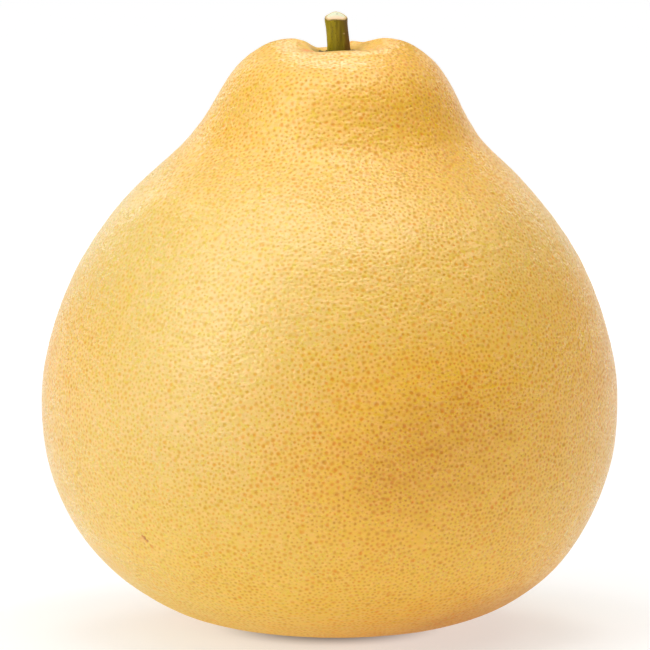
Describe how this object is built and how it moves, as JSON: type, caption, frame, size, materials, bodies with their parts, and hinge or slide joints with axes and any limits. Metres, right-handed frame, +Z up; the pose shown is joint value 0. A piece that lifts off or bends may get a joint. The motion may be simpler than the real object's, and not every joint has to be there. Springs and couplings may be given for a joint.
{
  "type": "pomelo",
  "caption": "Whole pear-shaped yellow pomelo standing on its flattened end, with pitted rind, lobed shoulders, a small calyx and a short cut stem.",
  "frame": {"origin": "middle of the bottom of the bounding box, on the surface that the fruit rests on", "axes": "+Z up through the neck and stem, -Y the front, -X the fuller side of the fruit, +X the right-hand side seen from the front"},
  "size_m": [0.1597, 0.1574, 0.1716],
  "materials": {
    "rind": "yellow citrus rind, waxy and finely pitted with orange oil glands",
    "calyx": "dry grey-green sepals with brown edges, matt",
    "stem": "olive green to brown ribbed bark, satin, with a pale cut end"
  },
  "bodies": {
    "root": {"fruit": "rind", "calyx": "calyx", "stem": "stem"}
  },
  "joints": []
}
